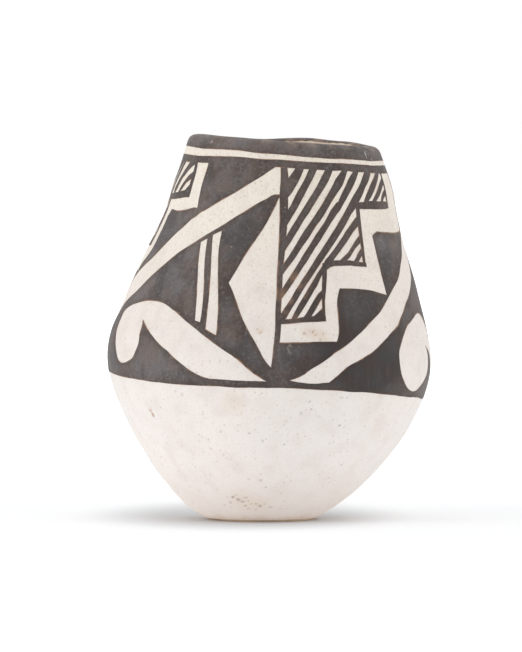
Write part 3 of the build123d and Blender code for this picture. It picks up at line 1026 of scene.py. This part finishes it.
# The upper two steps on the right of the front, and on the back
RIGHT_SLANTS = [
    FIRST_CLIMB + [(36, 89, 85.7), (39, 91, 87.3), (48, 95.9, 93), (52, 98, 94.7), (55.8, 98.3, 96.8)],
    SECOND_CLIMB + [(18, 70.8, 68.5), (20, 72.8, 70.3), (24, 75.5, 73), (28, 78.5, 75.8),
     (32, 81.3, 78.4), (36, 83.6, 81), (40.4, 85.8, 83.1)],
    [(27, 73, 72), (28, 73.5, 72.2), (32, 75.6, 73.8), (36, 78.3, 76.5), (40.4, 80.8, 78.7)],
    [(34.5, 73.3, 72.3), (36, 74.4, 72.6), (37, 75.3, 73.3), (40.4, 77.6, 75.5)],
    [(45.4, 89.2, 88.2), (48, 91.2, 89), (52, 93.4, 90.7), (56, 95.1, 92.6), (60, 96.6, 94.5),
     (64, 98.2, 96.3), (65.3, 98.4, 97.1)],
    [(52.8, 89.8, 88.8), (56, 91.4, 89.7), (60, 93.3, 91.2), (64, 94.8, 93), (68, 96, 94.4)],
    [(60.5, 89.7, 89), (62, 91, 89.4), (64, 92, 90.4), (68, 93.1, 91.7)],
]
RIGHT_TREADS = [
    [(18.7, 71.4, 69.8), (20.3, 72.2, 70.1), (22, 72.7, 71), (24, 72.9, 71.4), (32, 73.3, 71.9),
     (41, 73.1, 72)],
    [(39.9, 89, 87.3), (44, 89.2, 87.4), (52, 89.7, 87.5), (60, 89.7, 87.6), (68.4, 89.7, 88)],
]
RIGHT_RISERS = [
    [(72.1, 39.2, 40.6), (76.7, 39.3, 41), (81.7, 39.3, 41.5), (88.6, 39.5, 42)],
    [(88, 66.7, 68.2), (90, 66.9, 68.4), (94, 67.1, 68.6), (98.4, 67.4, 69)],
]

# The same steps on the left of the front, drawn wider and the highest one lower
LEFT_SLANTS = [
    FIRST_CLIMB + [(36, 89.4, 85.7), (39, 91.8, 88), (44, 95.8, 91.8), (47, 97.6, 94.4),
     (50.5, 98.4, 97.1)],
    SECOND_CLIMB + [(20, 72.8, 70.3), (24, 75.5, 73), (32, 81.3, 78.4), (39, 85.1, 82.4),
     (44, 88.6, 85.9), (46.5, 91.3, 87.6), (48.5, 93.8, 89.4), (52, 97.7, 93.4), (54, 98.3, 95.6),
     (56, 98.4, 97)],
    [(27, 73, 72), (28, 73.5, 72.2), (32, 75.6, 73.8), (36, 78.3, 76.5), (43, 82.3, 80.2),
     (48, 85.2, 82.8)],
    [(34.5, 73.3, 72.3), (36, 74.4, 72.6), (39, 76.8, 74.6), (43, 79.2, 77.3), (48, 81.7, 79.8)],
    [(42, 73.3, 72.3), (44, 74.6, 72.8), (48, 77.5, 75.5)],
    [(51, 88.9, 87), (54.5, 91.9, 88.1), (58.5, 94.8, 91.8), (63.5, 98.1, 94.6), (66, 98.4, 95.7),
     (70, 98.4, 96.8)],
    [(58.5, 88, 87.3), (60, 89.2, 87.6), (62.2, 90.9, 88.6), (65.5, 93, 90.8), (70, 94.6, 92.2)],
    [(66.3, 88.5, 87.3), (68.5, 89.8, 87.5), (70.8, 90.9, 87.7)],
]
LEFT_TREADS = [
    [(18.7, 71.4, 69.8), (20.3, 72.2, 70.1), (24, 72.9, 71.4), (32, 73.3, 71.9), (48.2, 73.1, 72)],
    [(45.8, 87.3, 85.5), (58, 87.8, 85.8), (66.5, 88.6, 86.4), (72, 88.7, 86.7)],
]
LEFT_RISERS = [
    [(72.2, 45.4, 48.1), (78, 45.5, 48.2), (86.2, 45.7, 48.6)],
    [(86.6, 69.6, 71.4), (88, 69.5, 72.2), (92, 69.6, 72.4), (95, 69.2, 71.8), (98.3, 68.3, 70.5)],
]


def brush_strip(sheet, edges, lift):
    """A flat stroke through pairs of edge points."""
    made = bmesh.ops.create_grid(sheet, x_segments=len(edges) - 1, y_segments=1, size=1)["verts"]
    made.sort(key=lambda corner: (round(corner.co.x, 4), corner.co.y))
    for corner, (turn, along) in zip(made, [point for pair in edges for point in pair]):
        corner.co = (turn * DEGREE, along, lift)


def hatching_sheet(bar, stretch, slants, treads, risers):
    """All strokes of one hatched figure, flat."""
    sheet = bmesh.new()
    for strokes, lift in ((slants, SLANT_LIFT), (treads, TREAD_LIFT)):
        for stations in strokes:
            spots = [(bar + turn * stretch, high, low) for turn, high, low in stations]
            brush_strip(sheet, [((turn, low), (turn, high)) for turn, high, low in spots], lift)
    for stations in risers:
        edges = [((bar + right * stretch, up), (bar + left * stretch, up)) for up, left, right in stations]
        brush_strip(sheet, edges, RISER_LIFT)
    return sheet


right_steps = (SLANTS + RIGHT_SLANTS, [LOW_TREAD] + RIGHT_TREADS, [LOW_RISER] + RIGHT_RISERS)
left_steps = (SLANTS + LEFT_SLANTS, [LOW_TREAD] + LEFT_TREADS, [LOW_RISER] + LEFT_RISERS)
rings = {
    "rim_band": ring_sheet(rim_band_low, rim_band_end),
    "top_line": ring_sheet(field_high - LINE_LAP, top_line_high),
    "bottom_line": ring_sheet(bottom_line_low, field_low + LINE_LAP),
}
sheets = {}
for number, (bar, steps) in enumerate(zip(BAR_TURNS, (right_steps, right_steps, left_steps)), start=1):
    width = (BAR_TURNS[number % len(BAR_TURNS)] - bar) % 360
    sheets[f"panel_bar_{number}"] = unrolled(f"panel_bar_{number}", bar)
    sheets[f"panel_fill_{number}"] = unrolled(f"panel_fill_{number}", bar + width / 2)
    sheets[f"hatching_{number}"] = hatching_sheet(bar, width / WIDE_PANEL, *steps)

covered = bmesh.new()
for sheet in [*rings.values(), *sheets.values()]:
    patch = bpy.data.meshes.new("patch")
    sheet.to_mesh(patch)
    covered.from_mesh(patch)
    bpy.data.meshes.remove(patch)
cover = BVHTree.FromBMesh(covered)
covered.free()

for name, sheet in rings.items():
    part_rim(sheet, THIN_STROKE)
    mark_paint(sheet, cover)
    lay_on(sheet, False, True)
    finished_piece(sheet, f"paint_{name}", brown_black, "paint", name)

# Bars, dark ground and hatching of the three repeats of the design, in the same paint. The white figures
# are the slip left bare.
for name, sheet in sheets.items():
    strokes = name.startswith("hatching")
    part_rim(sheet, THIN_STROKE if strokes else THIN_RIM)
    cut_to_grid(sheet)
    mark_paint(sheet, cover)
    lay_on(sheet, strokes, False)
    finished_piece(sheet, f"paint_{name}", brown_black, "paint", name)

# Floor, lights and camera: a white floor that runs out of sight and glows a little to light the jar from
# below, as a lit table would, with a soft shadow painted round the foot where the camera sees it; soft
# light from both sides as in a light tent, and a long lens a little above the middle of the jar.
FLOOR_SIZE = 4
FLOOR_WHITE = (0.9, 0.9, 0.9, 1)
FLOOR_SEEN = (0.728, 0.738, 0.75, 1)
FLOOR_GLOW = 0.335
FLOOR_LIFT_PAST_SHADOW = 0.305
PAINTED_SHADOW_PLACE = (0.003, -0.011, 0)
PAINTED_SHADOW_SCALE = (1, 0.55, 1)
PAINTED_SHADOW_CORE = 0.018
PAINTED_SHADOW_EDGE = 0.05
FAR_START = 0.1
FAR_END = 0.4
FAR_GLOW = 0.6
TENT_WHITE = (1, 1, 1, 1)
FILL_LIGHT = 0.55
floor_white = bpy.data.materials.new("floor_white")
floor_white.use_nodes = True
tree = floor_white.node_tree
tree.nodes.remove(tree.nodes["Principled BSDF"])
seen = add_node(tree, "LightPath")
to_camera = seen.outputs["Is Camera Ray"]
# The camera sees the floor darker than the light it throws back, and only its glow makes it white; this
# deepens the painted shadow near the jar.
matt = add_node(tree, "BsdfDiffuse", {"Color": mixed(tree, to_camera, FLOOR_WHITE, FLOOR_SEEN)})
position = add_node(tree, "TexCoord").outputs["Object"]
in_painted_shadow = add_node(
    tree, "Mapping", {"Vector": position, "Location": PAINTED_SHADOW_PLACE, "Scale": PAINTED_SHADOW_SCALE}
).outputs[0]
# Near the foot the glow is held back in an ellipse drawn out front to back, which paints a soft shadow
# there on top of the lamps' own.
lift_past_shadow = share_between(tree, length_of(tree, in_painted_shadow), PAINTED_SHADOW_CORE, PAINTED_SHADOW_EDGE, FLOOR_LIFT_PAST_SHADOW, "SMOOTHSTEP")
far = share_between(tree, length_of(tree, position), FAR_START, FAR_END, FAR_GLOW)
lift = {0: to_camera, 2: FLOOR_GLOW, 3: math(tree, "ADD", lift_past_shadow, far)}
lifted = add_node(tree, "Mix", lift, data_type="FLOAT")
glow = add_node(tree, "Emission", {"Strength": lifted.outputs[0]})
both = add_node(tree, "AddShader", {0: matt.outputs[0], 1: glow.outputs[0]})
tree.links.new(both.outputs[0], tree.nodes["Material Output"].inputs["Surface"])
floor_shape = bmesh.new()
bmesh.ops.create_grid(floor_shape, x_segments=8, y_segments=8, size=FLOOR_SIZE)
floor = shown(floor_shape, "floor", floor_white)

world = bpy.data.worlds.new("white_tent")
scene.world = world
world.use_nodes = True
tree = world.node_tree
seen = add_node(tree, "LightPath")
direct = math(tree, "MAXIMUM", seen.outputs["Is Camera Ray"], seen.outputs["Is Glossy Ray"])
direct = math(tree, "MAXIMUM", direct, seen.outputs["Is Transmission Ray"])
backdrop = add_node(tree, "Background", {"Color": TENT_WHITE, "Strength": 1.0})
fill_light = add_node(tree, "Background", {"Color": TENT_WHITE, "Strength": FILL_LIGHT})
tent = add_node(tree, "MixShader", {0: direct, 1: fill_light.outputs[0], 2: backdrop.outputs[0]})
tree.links.new(tent.outputs[0], tree.nodes["World Output"].inputs["Surface"])


def soft_lamp(name, place, size, power):
    """A large square lamp that faces the middle of the jar."""
    lamp = bpy.data.lights.new(name, "AREA")
    lamp.size = size
    lamp.energy = power
    holder = bpy.data.objects.new(name, lamp)
    holder.location = place
    aim = Vector((0, 0, HEIGHT / 2 * MILLIMETRE)) - Vector(place)
    holder.rotation_euler = aim.to_track_quat("-Z", "Y").to_euler()
    scene.collection.objects.link(holder)


soft_lamp("left_light", (-1.25, -0.45, 0.3), 0.5, 4)
soft_lamp("right_light", (1.25, -0.4, 0.3), 0.5, 2)
soft_lamp("top_light", (0, 0, 1.4), 2.2, 12)

CAMERA_DISTANCE = 2.5
CAMERA_RISE = radians(2)
CAMERA_AIM = Vector((0.00161, 0, 0.0528))
PICTURE_TALL = 0.178
SENSOR = 36
camera_data = bpy.data.cameras.new("camera")
camera_data.sensor_width = SENSOR
camera_data.lens = SENSOR * CAMERA_DISTANCE / PICTURE_TALL
camera_data.clip_end = 20
camera = bpy.data.objects.new("camera", camera_data)
camera.location = CAMERA_AIM + CAMERA_DISTANCE * Vector((0, -cos(CAMERA_RISE), sin(CAMERA_RISE)))
camera.rotation_euler = (pi / 2 - CAMERA_RISE, 0, 0)
scene.collection.objects.link(camera)
scene.camera = camera
scene.view_settings.view_transform = "Standard"
